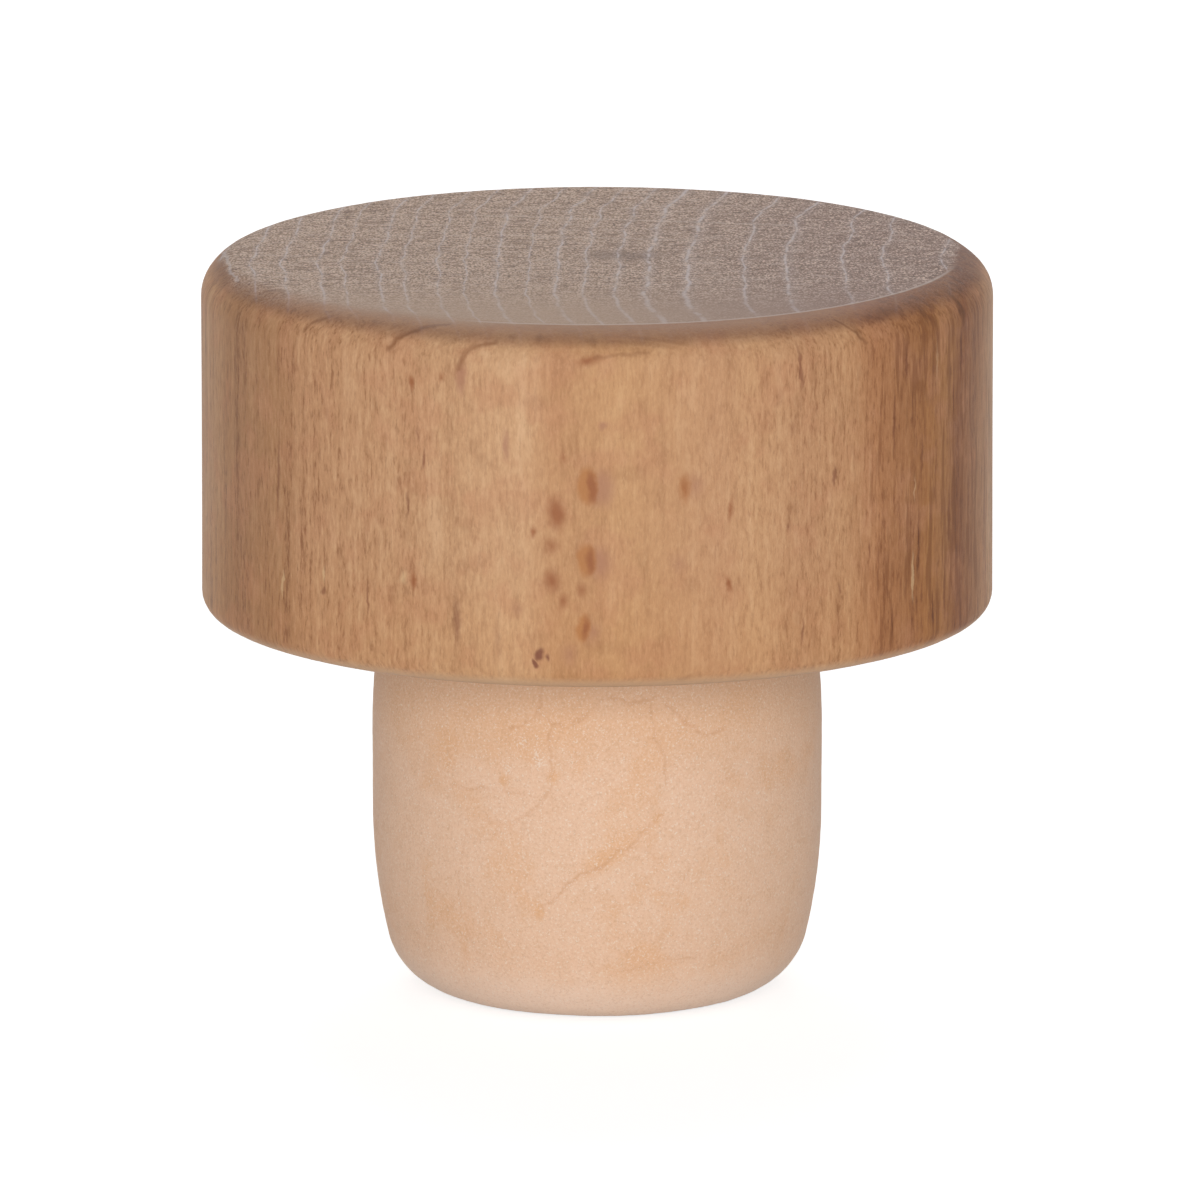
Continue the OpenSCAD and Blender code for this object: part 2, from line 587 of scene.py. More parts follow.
# Its other colours, in linear values. The names with TIMES multiply the colour that is there.
REDDISH = (0.52, 0.245, 0.13)
PALE_TIMES = (1.22, 1.36, 1.48)
DEEP_TIMES = (0.52, 0.42, 0.36)
# Soft reddish colour of the flecks, partly painted shadow.
SOFT_FLECK_AND_SHADOW = (0.42, 0.20, 0.12)
ORANGE_FLECK = (0.46, 0.195, 0.07)
BROWN_FLECK = (0.33, 0.12, 0.05)
SPINDLE_TIMES = (0.50, 0.39, 0.40)
PALE_STROKE = (0.72, 0.49, 0.28)
HOOK = (0.28, 0.12, 0.055)
BLEMISH_BROWN = (0.22, 0.08, 0.05)
WARM_TIMES = (0.99, 0.955, 0.90)
# Darker where the head faces up: the upper rounded edge and the top.
UP_FACING_DARKER_TIMES = (0.57, 0.50, 0.47)
SMUDGED_TIMES = (0.50, 0.42, 0.38)
# Painted light on the lower rounded edge, from the floor below.
LOWER_EDGE_PAINTED_LIGHT = (0.62, 0.41, 0.26)
# The end grain's grey, partly its own colour and partly a painted sheen.
END_GRAIN_AND_SHEEN_LEFT = (0.40, 0.267, 0.185)
END_GRAIN_AND_SHEEN_RIGHT = (0.25, 0.152, 0.12)
PALE_DOT = (0.66, 0.50, 0.41)
DARK_DOT = (0.11, 0.06, 0.038)
DARK_STREAK = (0.14, 0.07, 0.045)
PALE_STREAK = (0.52, 0.40, 0.34)
DARK_RAY = (0.10, 0.05, 0.035)
PALE_RAY = (0.62, 0.50, 0.42)
# Ring lines on the end grain, partly painted sheen.
RING_LINE_AND_SHEEN = (0.58, 0.50, 0.50)
# The ring line over the left edge, partly painted sheen.
EDGE_RING_AND_SHEEN = (0.60, 0.52, 0.50)
# Painted highlight along the crease at the flat's edge.
CREASE_PAINTED_HIGHLIGHT = (0.62, 0.52, 0.47)

# Growth rings: the heart of the tree, in mm to the right of the axis and behind it, how far noise
# pushes the rings, how many there are in a mm to each side of the place where they widen, and by
# how many rings noise makes them uneven.
PITH_MM = (70.0, -2.0)
RING_PUSH_MM = 1.8
RINGS_WIDEN_AT_MM = 1.5
LEFT_RINGS_PER_MM = 0.787
RIGHT_RINGS_PER_MM = 0.476
RING_UNEVENNESS = 1.2

# How often rays come in a mm: outward from the pith, from front to back, and upward.
RAYS_PER_MM = (0.11, 2.4, 0.6)

# How far noise moves the outlines of the marks.
MARK_SHAKE_MM = 0.3

# The grey haze on the flat top, darker end grain with a grey sheen painted in, is a round field: its
# middle, its radius, the width of its edge, and how far blotches push the edge. In front the edge
# is softer and further out on the left, and sharper and even on the right.
HAZE_MIDDLE_MM = (-0.3, 1.1)
HAZE_R_MM = 16.1
HAZE_EDGE_MM = 0.4
HAZE_PUSH_MM = 1.2
LEFT_EDGE_SOFTER_MM = 1.8
LEFT_EDGE_OUT_MM = 1.1
RIGHT_EDGE_SHARPER_MM = 0.2


class Beech(Tree):
    """Oiled beech, turned with its fibres upright: growth rings, rays and pores run through it.

    Places are in mm, in the CAD frame.
    """

    def __init__(self, head_r, bottom, top):
        super().__init__("beech")
        self.place = self.place_mm()
        self.x, self.y, self.z = self.split(self.place)[0:3]
        normal = self.node("ShaderNodeTexCoord", {}).outputs["Normal"]
        self.rise = self.split(normal)["Z"]
        self.ring_x = self.ring_place()

        # 0 on the left of the head and 1 on its right, as the rings carry the colour.
        self.across = self.maths("MULTIPLY_ADD", self.ring_x, 0.5 / (head_r * PER_MM), 0.5)

        # 1 on the left and right sides, where the rays are cut across.
        self.sideways = self.eased(self.maths("ABSOLUTE", self.x), 3.0, 14.0)

        # The end grain is smooth in front, and lively from a little behind the front on.
        self.lively = self.eased(self.y, -13.0, -4.0)

        self.blotches = self.noise(self.place, 0.5, 3.0, 0.55)["Fac"]
        self.strokes = self.drawn_out((1.0, 1.0, 0.22), 6.5, 3.0, 0.7)
        self.bands = self.drawn_out((1.0, 1.0, 0.04), 1.4, 3.0, 0.65)
        self.dots = self.drawn_out((1.3, 0.8, 1.3), 8.0, 1.0, 0.7)
        banded = self.maths("MULTIPLY", self.sideways, 0.4)
        self.fibres = self.mixed_value(banded, self.strokes, self.bands)

        along, self.up = self.unrolled(head_r * PER_MM, bottom * PER_MM, top * PER_MM)
        wander = self.wander(self.place, 2.2, 2.0)
        shaken = self.vector("MULTIPLY", wander, (MARK_SHAKE_MM, MARK_SHAKE_MM, 0.0))
        self.skin = self.vector("ADD", self.joined(along, self.up, 0.0), shaken)
        self.plan = self.vector("ADD", self.joined(self.x, self.y, 0.0), shaken)

    def drawn_out(self, shares, scale, detail, roughness):
        """Noise that is drawn out along each axis whose share is below 1."""
        squeezed = self.vector("MULTIPLY", self.place, shares)
        return self.noise(squeezed, scale, detail, roughness)["Fac"]

    def from_front_on(self, in_front, behind):
        """A value of the end grain that changes as the grain gets lively."""
        return self.maths("MULTIPLY_ADD", self.lively, behind - in_front, in_front)

    def ring_place(self):
        """Where the ring through a point meets the line from left to right through the pith.

        Rings are circles about the pith, pushed about where rays cross them.
        """
        push = self.drawn_out((0.3, 1.0, 0.3), 0.15, 4.0, 0.45)
        push = self.maths("SUBTRACT", push, 0.5)
        pushed = self.maths("MULTIPLY_ADD", push, RING_PUSH_MM, self.x)
        from_pith = self.joined(
            self.maths("SUBTRACT", pushed, PITH_MM[0]),
            self.maths("SUBTRACT", self.y, PITH_MM[1]),
            0.0,
        )
        return self.maths("SUBTRACT", PITH_MM[0], self.length(from_pith))

    def unrolled(self, head_r_mm, bottom_mm, top_mm):
        """How far round the side a point is, and how far up it and on over the rounded edge."""
        round_mm = TOP_ROUND * PER_MM
        along = self.round_side(self.x, self.y, head_r_mm)
        radius = self.length(self.joined(self.x, self.y, 0.0))
        outward = self.maths("SUBTRACT", radius, head_r_mm - round_mm)
        above = self.maths("SUBTRACT", self.z, top_mm - round_mm)
        lean = self.maths("ARCTAN2", self.maths("MAXIMUM", above, 0.0), outward)
        up = self.maths("MULTIPLY_ADD", lean, round_mm, self.maths("MINIMUM", above, 0.0))
        return along, self.maths("ADD", up, top_mm - round_mm - bottom_mm)

    def rays(self):
        """How strongly a ray shows on the wood. Rays are thin ribbons from the pith outward."""
        ribbons = self.joined(
            self.maths("MULTIPLY", self.ring_x, RAYS_PER_MM[0]),
            self.maths("MULTIPLY", self.y, RAYS_PER_MM[1]),
            self.maths("MULTIPLY", self.z, RAYS_PER_MM[2]),
        )
        inputs = {"Vector": ribbons, "Scale": 1.0, "Randomness": 1.0}
        cells = self.node("ShaderNodeTexVoronoi", inputs).outputs["Distance"]
        return self.eased(cells, 0.1, 0.32, 0.2, 0.0)

    def plain_wood(self):
        """The wood with its fibres and rays, before the marks of this one piece."""
        wood = self.ramp(self.across, WOOD_COLOURS)
        wood = self.tinted(wood, self.blotches, 0.48, 0.68, 0.4, REDDISH)
        pale = self.times(wood, PALE_TIMES)
        deep = self.times(wood, DEEP_TIMES)

        patches = self.drawn_out((1.0, 1.0, 0.3), 2.0, 4.0, 0.75)
        mottle = self.mixed_value(0.45, patches, self.bands)
        wood = self.tinted(wood, mottle, 0.5, 0.64, 0.5, pale)
        wood = self.tinted(wood, mottle, 0.5, 0.36, 0.25, deep)

        # Fibres show most on the left and right sides.
        reach = self.maths("MULTIPLY_ADD", self.sideways, 0.65, 0.2)
        light = self.maths("MULTIPLY", self.eased(self.fibres, 0.5, 0.66), reach)
        wood = self.mixed(light, wood, pale)
        dark = self.maths("MULTIPLY", self.eased(self.fibres, 0.5, 0.34), reach)
        wood = self.mixed(dark, wood, deep)
        wood = self.mixed(self.rays(), wood, deep)

        # Fine grit; its paler specks are partly painted glints where fibres catch the light.
        grit_and_glints = self.drawn_out((1.0, 1.0, 0.4), 8.0, 1.0, 0.6)
        wood = self.tinted(wood, grit_and_glints, 0.54, 0.68, 0.22, pale)
        wood = self.tinted(wood, grit_and_glints, 0.46, 0.32, 0.08, deep)

        # Dark figure on the right side.
        figured = self.drawn_out((1.0, 1.0, 0.1), 2.2, 3.0, 0.65)
        on_right = self.eased(self.x, 9.5, 13.0)
        figure = self.maths("MULTIPLY", on_right, self.eased(figured, 0.5, 0.38, 0.0, 0.6))
        return self.mixed(figure, wood, deep)

    def marked(self, wood):
        """The wood with the marks that this one piece has on its side."""
        skin = self.skin
        # Soft reddish patches, partly painted shadow on the right of the flecks.
        wood = self.tinted(wood, self.marks(skin, SOFT_FLECKS_AND_SHADOWS), 0.0, 0.8, 0.75, SOFT_FLECK_AND_SHADOW)
        wood = self.tinted(wood, self.marks(skin, ORANGE_FLECKS), 0.05, 0.5, 0.85, ORANGE_FLECK)
        wood = self.tinted(wood, self.marks(skin, BROWN_FLECKS), 0.0, 0.55, 0.9, BROWN_FLECK)
        darker = self.times(wood, SPINDLE_TIMES)
        wood = self.tinted(wood, self.marks(skin, SPINDLES), 0.0, 0.7, 0.75, darker)
        wood = self.tinted(wood, self.marks(skin, PALE_STROKES), 0.05, 0.6, 0.6, PALE_STROKE)
        wood = self.mixed(self.lines(skin, HOOKS), wood, HOOK)
        return self.tinted(wood, self.marks(skin, BLEMISH), 0.0, 0.6, 0.9, BLEMISH_BROWN)

    def edged(self, wood):
        """The wood with its two rounded edges, and warmer low on the side.

        The upper edge and the top are darker where they face up, most of all where smudged.
        The lower one is paler, with painted light from the floor below.
        """
        wood = self.mixed(self.eased(self.up, 6.5, 1.5), wood, self.times(wood, WARM_TIMES))
        smudges = self.eased(self.marks(self.skin, SMUDGES), 0.0, 0.8, 0.0, 0.7)
        # Darker where the surface faces up, and where smudged.
        up_facing_darker = self.maths("MAXIMUM", self.eased(self.rise, 0.55, 0.9), smudges)
        wood = self.mixed(up_facing_darker, wood, self.times(wood, UP_FACING_DARKER_TIMES))
        smudged = self.maths("MULTIPLY", smudges, 0.6)
        wood = self.mixed(smudged, wood, self.times(wood, SMUDGED_TIMES))
        # Painted light: the lower rounded edge, facing down, paler as if lit from the floor.
        return self.tinted(wood, self.rise, -0.3, -0.85, 0.7, LOWER_EDGE_PAINTED_LIGHT)

    def ring_lines(self):
        """The rings' lines, pale partly with a painted sheen, closer together on the left than on the
        right.
        """
        past = self.maths("SUBTRACT", self.ring_x, RINGS_WIDEN_AT_MM)
        past = self.maths("MAXIMUM", past, 0.0)
        rings = self.maths("MULTIPLY", self.ring_x, LEFT_RINGS_PER_MM)
        change = RIGHT_RINGS_PER_MM - LEFT_RINGS_PER_MM
        rings = self.maths("MULTIPLY_ADD", past, change, rings)
        unevenness = self.noise(self.joined(self.ring_x, 0.0, 0.0), 0.45, 1.0)["Fac"]
        rings = self.maths("MULTIPLY_ADD", unevenness, RING_UNEVENNESS, rings)
        to_ring = self.maths("PINGPONG", rings, 0.5)
        thin = self.eased(to_ring, 0.0, self.from_front_on(0.1, 0.06), 1.0, 0.0)
        wide = self.eased(to_ring, 0.0, 0.2, 0.18, 0.0)
        broken = self.eased(self.noise(self.place, 0.9, 3.0)["Fac"], 0.36, 0.6, 0.25, 1.0)
        return self.maths("MAXIMUM", self.maths("MULTIPLY", thin, broken), wide)

    def grained(self, haze):
        """The haze with the dots and streaks of the end grain, which are calmer in front."""
        streaks = self.drawn_out((0.3, 1.0, 0.3), 3.6, 1.0, 0.7)
        contrast = self.from_front_on(0.15, 0.97)
        kinds = [
            (self.dots, 0.52, 0.64, 1.0, PALE_DOT),
            (self.dots, 0.47, 0.34, 1.0, DARK_DOT),
            (streaks, 0.54, 0.7, 0.7, DARK_STREAK),
            (streaks, 0.46, 0.28, 0.4, PALE_STREAK),
        ]
        for value, low, high, strength, colour in kinds:
            share = self.eased(value, low, high, 0.0, strength)
            haze = self.mixed(self.maths("MULTIPLY", share, contrast), haze, colour)
        return haze

    def haze(self):
        """The grey of the flat end grain: its own darker colour with a grey sheen painted in, and its
        grain, rays and ring lines.
        """
        haze = self.mixed(self.eased(self.across, 0.4, 0.85), END_GRAIN_AND_SHEEN_LEFT, END_GRAIN_AND_SHEEN_RIGHT)
        haze = self.grained(haze)
        darker = self.mixed(0.5, haze, DARK_RAY)
        haze = self.mixed(self.lines(self.plan, DARK_RAYS), haze, darker)
        pale_rays = self.maths("MULTIPLY", self.lines(self.plan, PALE_RAYS), 0.4)
        haze = self.mixed(pale_rays, haze, PALE_RAY)
        rings = self.maths("MULTIPLY", self.ring_lines(), self.from_front_on(0.4, 0.85))
        # The ring lines, pale and bluish, partly painted sheen.
        return self.mixed(rings, haze, RING_LINE_AND_SHEEN)

    def hazed(self, wood):
        """The wood with the haze on its flat ends, partly a painted sheen, and the pale lines along the
        haze's edge, partly painted sheen and highlight.
        """
        off_middle = self.joined(
            self.maths("SUBTRACT", self.x, HAZE_MIDDLE_MM[0]),
            self.maths("SUBTRACT", self.y, HAZE_MIDDLE_MM[1]),
            0.0,
        )
        haze_r = self.length(off_middle)
        left_front = self.maths(
            "MULTIPLY", self.eased(self.x, -2.0, -6.0), self.eased(self.y, -2.0, -7.0)
        )
        right_front = self.maths(
            "MULTIPLY", self.eased(self.x, -7.0, -3.0), self.eased(self.y, -1.0, -5.0)
        )
        push = self.maths("MULTIPLY_ADD", right_front, HAZE_PUSH_MM, -HAZE_PUSH_MM)
        ragged = self.maths("SUBTRACT", self.blotches, 0.5)
        edge_r = self.maths("MULTIPLY_ADD", ragged, push, haze_r)
        width = self.maths("MULTIPLY_ADD", left_front, LEFT_EDGE_SOFTER_MM, HAZE_EDGE_MM)
        width = self.maths("MULTIPLY_ADD", right_front, -RIGHT_EDGE_SHARPER_MM, width)
        outer = self.maths("MULTIPLY_ADD", left_front, LEFT_EDGE_OUT_MM, HAZE_R_MM)
        inner = self.maths("SUBTRACT", outer, width)
        inside = self.eased(edge_r, outer, inner, 0.15, 1.0)
        top = self.eased(self.rise, 0.6, 0.9)
        underside = self.eased(self.rise, -0.78, -0.97)
        share = self.maths("MULTIPLY", self.maths("MAXIMUM", top, underside), inside)
        # The end grain's grey on the flat ends, partly painted sheen.
        wood = self.mixed(share, wood, self.haze())
        # The ring line over the left edge, partly painted sheen.
        wood = self.mixed(self.lines(self.plan, EDGE_LINES), wood, EDGE_RING_AND_SHEEN)
        # Painted highlight: a pale line where the flat top meets its rounded edge, on the right front.
        crease_highlight = self.eased(self.distance(haze_r, HAZE_R_MM - 0.1), 0.0, 0.14, 0.55, 0.0)
        return self.mixed(self.maths("MULTIPLY", crease_highlight, right_front), wood, CREASE_PAINTED_HIGHLIGHT)


def beech(head_r, bottom, top):
    """The head's material."""
    t = Beech(head_r, bottom, top)
    colour = t.hazed(t.edged(t.marked(t.plain_wood())))
    t.put(t.shader.inputs["Base Color"], colour)
    t.put(t.shader.inputs["Roughness"], t.eased(t.fibres, 0.3, 0.7, 0.5, 0.62))
    t.same_all_over({"IOR": 1.45, "Specular IOR Level": 0.2})
    t.bump(t.maths("MULTIPLY_ADD", t.dots, 0.6, t.strokes), 0.7)
    return t.material


# ---------------------------------------------------------------- synthetic cork

# Veins on the shank's front: (width, strength, points in mm round it and mm above the foot).
VEINS = [
    (0.3, 1.0, [(-2.4, 15.6), (-2.5, 14.4), (-2.7, 13.9), (-3.1, 13.6), (-3.8, 13.3)]),
    (0.3, 1.0, [(-2.6, 14.0), (-1.9, 13.6), (-1.3, 13.5), (-0.7, 13.8), (-0.2, 14.3)]),
    (0.3, 0.9, [(-0.2, 14.3), (0.3, 14.7), (0.7, 14.8), (1.3, 14.5), (2.0, 14.5), (2.7, 14.8)]),
    (0.25, 0.8, [(-2.0, 13.6), (-2.1, 12.8), (-2.0, 12.2), (-2.0, 11.5)]),
    (0.25, 0.7, [(-2.0, 11.5), (-2.0, 10.7), (-2.5, 10.1), (-3.0, 9.6), (-3.9, 9.1)]),
    (0.25, 0.6, [(-3.9, 9.1), (-4.7, 9.1), (-5.2, 9.6)]),
    (0.2, 0.6, [(-4.3, 10.6), (-3.5, 10.5), (-2.6, 10.4)]),
    (0.25, 0.7, [(-6.9, 10.6), (-6.3, 10.4), (-5.6, 10.5), (-4.6, 10.6)]),
    (0.25, 0.7, [(-6.1, 8.6), (-5.8, 8.2), (-5.2, 8.2), (-4.5, 8.6)]),
    (0.22, 0.6, [(-6.1, 8.6), (-6.2, 7.6), (-6.4, 6.7), (-7.2, 6.3), (-8.4, 6.0)]),
    (0.22, 0.5, [(-6.4, 6.7), (-6.5, 5.6), (-6.4, 4.5), (-5.8, 3.2)]),
    (0.3, 0.9, [(-2.5, 5.6), (-2.0, 5.7), (-1.6, 6.2), (-1.1, 6.8), (-0.6, 7.1)]),
    (0.3, 1.0, [(-0.6, 7.1), (0.3, 7.4), (0.9, 8.1), (1.4, 8.2), (2.0, 8.9), (2.8, 9.6)]),
    (0.22, 0.6, [(0.9, 8.1), (1.9, 8.2), (2.6, 7.6)]),
    (0.25, 0.8, [(2.4, 14.4), (2.4, 13.6), (2.6, 12.8), (2.9, 12.2), (3.0, 11.0)]),
    (0.3, 0.9, [(3.1, 14.4), (3.8, 13.7), (4.5, 13.1), (5.3, 12.9), (5.8, 13.2)]),
    (0.2, 0.5, [(6.6, 11.1), (5.5, 10.7), (5.4, 10.0)]),
    (0.2, 0.5, [(4.1, 7.1), (3.8, 6.6), (3.6, 6.1)]),
    (0.2, 0.5, [(1.2, 2.6), (2.2, 2.9), (3.6, 3.1), (5.0, 3.0)]),
]
CLOUDS = [
    (0.4, 7.8, 60, 4.0, 1.6, 0.9),
    (-2.6, 5.3, 0, 1.4, 0.8, 1.0),
    (-1.9, 11.3, 0, 1.3, 0.8, 0.9),
    (-4.2, 11.0, 0, 0.8, 0.8, 1.0),
    (-7.0, 12.4, 30, 3.6, 2.2, 0.6),
    (2.6, 9.4, 30, 1.4, 0.8, 0.8),
    (-0.8, 11.8, 20, 1.6, 1.0, 0.5),
]
# Patches where the painted glints come closer together.
GLINTS = [
    (-3.3, 12.7, 0, 1.2, 0.9, 0.8),
    (-2.5, 12.0, 0, 1.4, 0.7, 1.0),
    (-3.9, 11.6, 0, 1.0, 0.7, 0.7),
    (-8.3, 8.0, 0, 1.6, 1.0, 0.5),
]

# Colours of the foam, in linear values.
FOAM = (0.86, 0.575, 0.40)
FOAM_CLOUD = (0.83, 0.51, 0.315)
FOAM_MOTTLE = (0.78, 0.49, 0.31)
FOAM_STAIN = (0.80, 0.45, 0.235)
# Painted light from the floor below: the foot paler.
FOAM_FOOT_PAINTED_LIGHT = (0.96, 0.76, 0.62)
# Painted shade under the head's overhang.
FOAM_PAINTED_SHADE_UNDER_HEAD = (0.80, 0.495, 0.30)
FOAM_PIT = (0.58, 0.34, 0.20)
FOAM_PEBBLE = (0.92, 0.74, 0.60)
FOAM_VEIN = (0.64, 0.32, 0.16)
# Painted glints: tiny bright specks of light.
FOAM_GLINT = (0.95, 0.84, 0.74)

# How far noise bends the clouds and the network behind, and how far it moves the drawn veins.
CLOUD_BEND_MM = 2.6
VEIN_SHAKE_MM = 0.4


class Foam(Tree):
    """Moulded cork-coloured foam: a matte pebbled skin with soft clouds and faint veins.

    Places are in mm, in the CAD frame.
    """

    def __init__(self, band_r):
        super().__init__("synthetic_cork")
        self.place = self.place_mm()
        self.x, self.y, self.z = self.split(self.place)[0:3]
        wander = self.wander(self.place, 0.7, 4.0)
        bend = (CLOUD_BEND_MM, CLOUD_BEND_MM, CLOUD_BEND_MM)
        self.bent = self.vector("MULTIPLY_ADD", wander, bend, self.place)
        self.mottle = self.noise(self.place, 1.2, 4.0, 0.65)["Fac"]
        self.grain = self.noise(self.place, 8.0, 2.0, 0.8)["Fac"]
        self.specks = self.noise(self.place, 13.0, 1.0, 0.5)["Fac"]
        along = self.round_side(self.x, self.y, band_r * PER_MM)
        wander = self.wander(self.place, 2.4, 2.0)
        shaken = self.vector("MULTIPLY", wander, (VEIN_SHAKE_MM, VEIN_SHAKE_MM, 0.0))
        self.skin = self.vector("ADD", self.joined(along, self.z, 0.0), shaken)

    def plain_foam(self):
        """The foam without its veins: paler at the foot, where light from below is painted, and darker
        under the head, where shade is painted.
        """
        clouds = self.noise(self.bent, 0.3, 3.0, 0.55)["Fac"]
        foam = self.mixed(self.eased(clouds, 0.46, 0.68), FOAM, FOAM_CLOUD)
        foam = self.tinted(foam, self.mottle, 0.46, 0.7, 0.4, FOAM_MOTTLE)
        foam = self.tinted(foam, self.marks(self.skin, CLOUDS), 0.0, 0.9, 0.7, FOAM_STAIN)
        # Painted light: the foot paler, as if lit from the floor below.
        foam = self.tinted(foam, self.z, 3.2, 0.3, 0.85, FOAM_FOOT_PAINTED_LIGHT)
        # Painted shade: the shank darker and deeper in colour just under the head.
        foam = self.tinted(foam, self.z, 10.5, 14.0, 0.6, FOAM_PAINTED_SHADE_UNDER_HEAD)
        foam = self.tinted(foam, self.grain, 0.5, 0.3, 0.3, FOAM_PIT)
        return self.tinted(foam, self.grain, 0.52, 0.72, 0.4, FOAM_PEBBLE)

    def veins(self):
        """How strongly a vein shows. In front they are drawn, and behind they are a loose network."""
        edges = self.node(
            "ShaderNodeTexVoronoi",
            {"Vector": self.bent, "Scale": 0.24},
            feature="DISTANCE_TO_EDGE",
        ).outputs["Distance"]
        network = self.eased(edges, 0.0, 0.03, 1.0, 0.0)
        patchy = self.eased(self.noise(self.place, 0.35, 2.0)["Fac"], 0.48, 0.66, 0.0, 0.6)
        behind = self.eased(self.y, -4.0, 1.0)
        network = self.maths("MULTIPLY", network, self.maths("MULTIPLY", patchy, behind))
        veins = self.maths("MAXIMUM", network, self.lines(self.skin, VEINS))
        return self.maths("MULTIPLY", veins, self.eased(self.mottle, 0.35, 0.6, 0.12, 0.4))

    def glinting(self, foam):
        """The foam with painted glints: tiny bright specks painted into its colour, closer together
        where it glints.
        """
        glints = self.eased(self.marks(self.skin, GLINTS), 0.0, 0.8, 0.0, 0.12)
        bright = self.maths("ADD", self.specks, glints)
        return self.tinted(foam, bright, 0.6, 0.72, 0.5, FOAM_GLINT)


def synthetic_cork(band_r):
    """The shank's material."""
    t = Foam(band_r)
    foam = t.mixed(t.veins(), t.plain_foam(), FOAM_VEIN)
    t.put(t.shader.inputs["Base Color"], t.glinting(foam))
    t.same_all_over({"Roughness": 0.62, "IOR": 1.45, "Specular IOR Level": 0.1})
    t.same_all_over({"Sheen Weight": 0.1, "Sheen Roughness": 0.3})
    t.bump(t.maths("MULTIPLY_ADD", t.specks, 0.5, t.grain), 0.6)
    return t.material


# ---------------------------------------------------------------- stage, light, camera

WHITE = (1.0, 1.0, 1.0, 1.0)

# The floor's whiteness as light meets it, and for the eye: a glow, and the share that shadows dim.
FLOOR_SIZE = 4.0
FLOOR_MATTE = (0.9, 0.9, 0.9, 1.0)
FLOOR_SHADED = (0.6, 0.6, 0.6, 1.0)
FLOOR_GLOW = 0.74

# How strongly the world lights the stopper. To the eye it is white.
WORLD_LIGHT = 0.31


def seen_directly(tree):
    """1 for camera, glossy and transmission rays, which find the background white. 0 for the rest."""
    path = tree.nodes.new("ShaderNodeLightPath")
    seen = path.outputs["Is Camera Ray"]
    for kind in ("Is Glossy Ray", "Is Transmission Ray"):
        either = tree.nodes.new("ShaderNodeMath")
        either.operation = "MAXIMUM"
        tree.links.new(seen, either.inputs[0])
        tree.links.new(path.outputs[kind], either.inputs[1])
        seen = either.outputs[0]
    return seen


def white_stage():
    """A plain white floor that the camera sees as white except where the stopper shades it.

    From below it is clear, so that a camera there sees the underside of the stopper.
    """
    bpy.ops.mesh.primitive_plane_add(size=FLOOR_SIZE)
    floor = bpy.context.active_object
    floor.name = "floor"
    t = Tree("floor_white")
    matte = t.node("ShaderNodeBsdfDiffuse", {"Color": FLOOR_MATTE})
    glow = t.node("ShaderNodeEmission", {"Color": WHITE, "Strength": FLOOR_GLOW})
    shaded = t.node("ShaderNodeBsdfDiffuse", {"Color": FLOOR_SHADED})
    seen = t.node("ShaderNodeAddShader", {0: glow.outputs[0], 1: shaded.outputs[0]})
    above = t.node(
        "ShaderNodeMixShader",
        {0: seen_directly(t.tree), 1: matte.outputs[0], 2: seen.outputs[0]},
    )
    from_below = t.node("ShaderNodeNewGeometry", {}).outputs["Backfacing"]
    clear = t.node("ShaderNodeBsdfTransparent", {})
    one_sided = t.node(
        "ShaderNodeMixShader",
        {0: from_below, 1: above.outputs[0], 2: clear.outputs[0]},
    )
    t.put(t.tree.nodes["Material Output"].inputs["Surface"], one_sided.outputs[0])
    t.tree.nodes.remove(t.shader)
    floor.data.materials.append(t.material)


def white_world():
    """Even light from all round, and white behind everything."""
    world = bpy.data.worlds.new("studio")
    bpy.context.scene.world = world
    world.use_nodes = True
    tree = world.node_tree
    level = tree.nodes.new("ShaderNodeMapRange")
    level.inputs["To Min"].default_value = WORLD_LIGHT
    level.inputs["To Max"].default_value = 1.0
    tree.links.new(seen_directly(tree), level.inputs["Value"])
    background = tree.nodes["Background"]
    background.inputs["Color"].default_value = WHITE
    tree.links.new(level.outputs[0], background.inputs["Strength"])


def soft_light(name, target, azimuth, elevation, distance, size, watts):
    """A square soft box aimed at the target. Azimuth 0 is in front, and grows towards +X."""
    lamp = bpy.data.lights.new(name, "AREA")
    lamp.size = size
    lamp.energy = watts
    body = bpy.data.objects.new(name, lamp)
    bpy.context.scene.collection.objects.link(body)
    turn = math.radians(azimuth)
    rise = math.radians(elevation)
    away = Vector(
        (
            math.sin(turn) * math.cos(rise),
            -math.cos(turn) * math.cos(rise),
            math.sin(rise),
        )
    )
    body.location = target + away * distance
    body.rotation_euler = (-away).to_track_quat("-Z", "Y").to_euler()


def photo_camera(lip):
    """A long lens at the photograph's angle, aimed at the axis where the head meets the shank."""
    data = bpy.data.cameras.new("camera")
    data.sensor_width = SENSOR_MM
    data.lens = SENSOR_MM * CAMERA_DISTANCE / VIEW_WIDTH
    data.clip_start = CAMERA_DISTANCE / 10
    data.clip_end = CAMERA_DISTANCE * 10
    camera = bpy.data.objects.new("camera", data)
    bpy.context.scene.collection.objects.link(camera)
    rise = CAMERA_ELEVATION
    ahead = Vector((0.0, math.cos(rise), -math.sin(rise)))
    up = Vector((0.0, math.sin(rise), math.cos(rise)))
    aim = Vector((AIM_RIGHT, 0.0, lip)) + up * AIM_UP
    camera.location = aim - ahead * CAMERA_DISTANCE
    camera.rotation_euler = ahead.to_track_quat("-Z", "Y").to_euler()
    bpy.context.scene.camera = camera


# ---------------------------------------------------------------- the two pieces


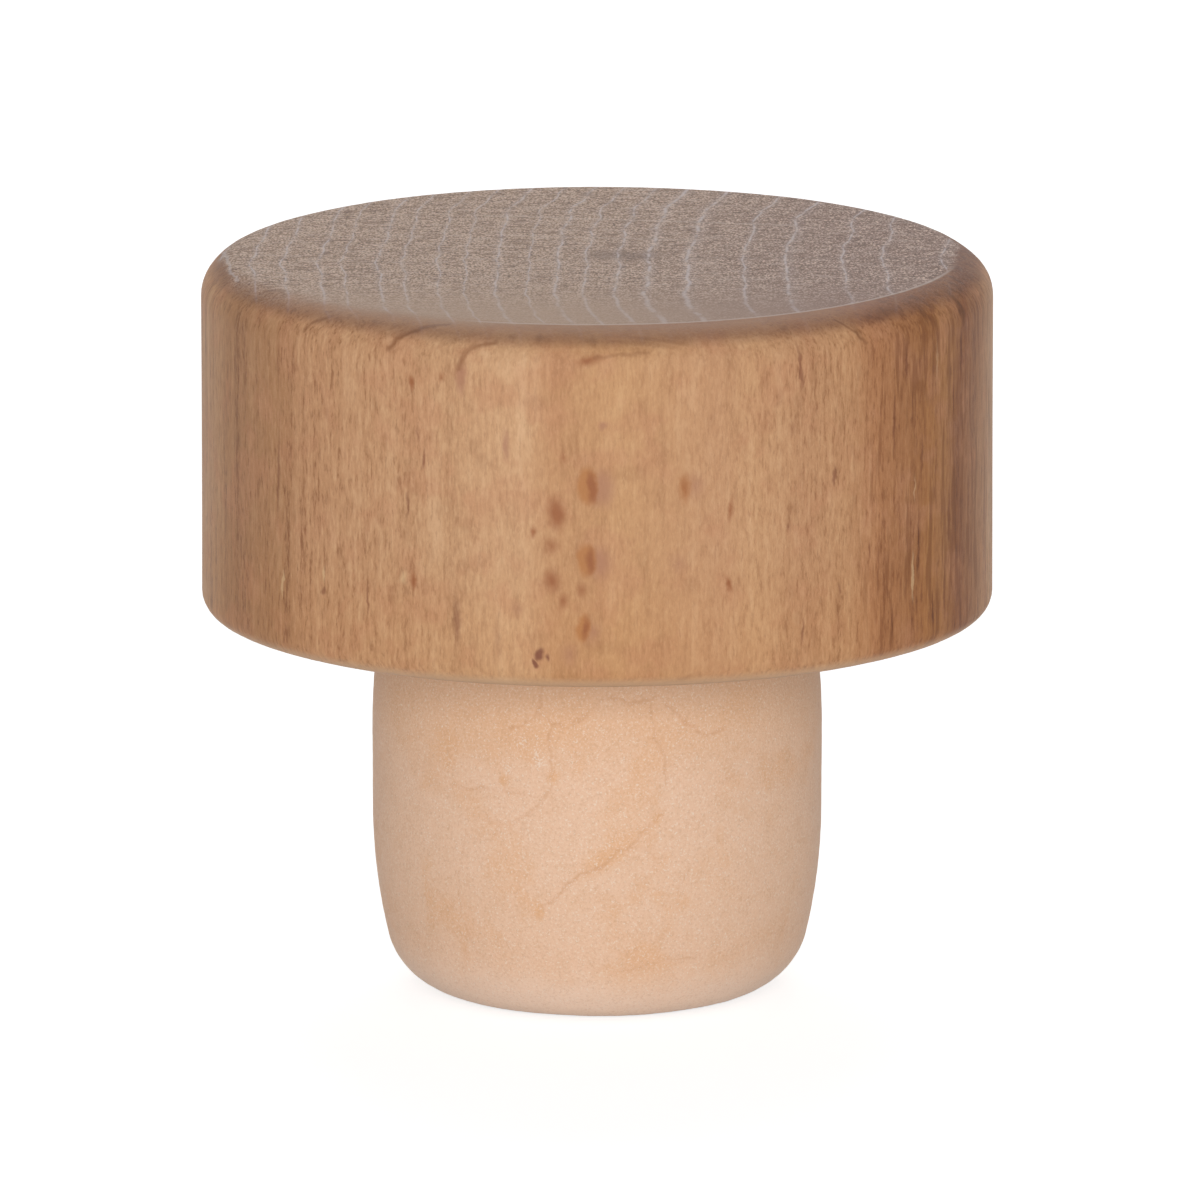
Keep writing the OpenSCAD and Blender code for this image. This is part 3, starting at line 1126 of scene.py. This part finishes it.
def wooden_head():
    low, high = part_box("wooden_head")
    _, shank_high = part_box("cork_shank")
    head_r = min(high.x - low.x, high.y - low.y) / 2
    outline = head_outline(head_r, low.z, high.z, shank_high.z)
    head = turned("beech_head", outline, HEAD_CELLS)
    socket_mm = SOCKET_R * PER_MM + SOCKET_MARGIN_MM
    middle_mm = (low.z + high.z) / 2 * PER_MM
    top_mm = high.z * PER_MM

    def depth(place):
        x, y, z = place
        in_socket = math.hypot(x, y) < socket_mm and z < middle_mm
        if in_socket:
            return 0.0
        off_middle = math.hypot(x - HAZE_MIDDLE_MM[0], y - HAZE_MIDDLE_MM[1])
        past_haze = off_middle - HAZE_R_MM
        shoulder = smooth_step(past_haze, SHOULDER_STARTS_MM, SHOULDER_FULL_MM)
        shoulder *= smooth_step(z, top_mm - SHOULDER_TALL_MM, top_mm)
        wave = relief(place, WAVES_PER_MM) * WAVE_DEPTH
        fibre = relief(place, FIBRES_PER_MM) * FIBRE_DEPTH
        return wave + fibre + shoulder * SHOULDER_DEPTH

    press_in(head, depth)
    head.data.materials.append(beech(head_r, low.z, high.z))
    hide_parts("wooden_head")
    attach(head, "root")


def cork_shank():
    low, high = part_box("cork_shank")
    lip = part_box("wooden_head")[0].z
    band_r = min(high.x - low.x, high.y - low.y) / 2
    shank = turned("foam_shank", shank_outline(band_r, lip, high.z), SHANK_CELLS)
    lip_mm = lip * PER_MM

    def depth(place):
        in_socket = place.z > lip_mm
        if in_socket:
            return 0.0
        dimple = relief(place, DIMPLES_PER_MM) * DIMPLE_DEPTH
        pebble = relief(place, PEBBLES_PER_MM) * PEBBLE_DEPTH
        return dimple + pebble

    press_in(shank, depth)
    shank.data.materials.append(synthetic_cork(band_r))
    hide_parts("cork_shank")
    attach(shank, "root")


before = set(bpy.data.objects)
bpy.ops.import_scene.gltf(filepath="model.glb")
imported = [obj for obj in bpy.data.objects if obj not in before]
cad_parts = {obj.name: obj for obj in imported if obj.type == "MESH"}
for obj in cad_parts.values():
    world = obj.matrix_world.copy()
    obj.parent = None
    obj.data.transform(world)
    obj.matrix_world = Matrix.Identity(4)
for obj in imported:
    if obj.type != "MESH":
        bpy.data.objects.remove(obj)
cad_low, cad_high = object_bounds()
wooden_head()
cork_shank()
white_stage()
white_world()
middle = (cad_low + cad_high) / 2
soft_light("key", middle, azimuth=0, elevation=10, distance=0.8, size=0.4, watts=4.0)
soft_light("back", middle, azimuth=180, elevation=52, distance=0.8, size=0.5, watts=2.1)
photo_camera(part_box("wooden_head")[0].z)
bpy.context.scene.view_settings.view_transform = "Standard"
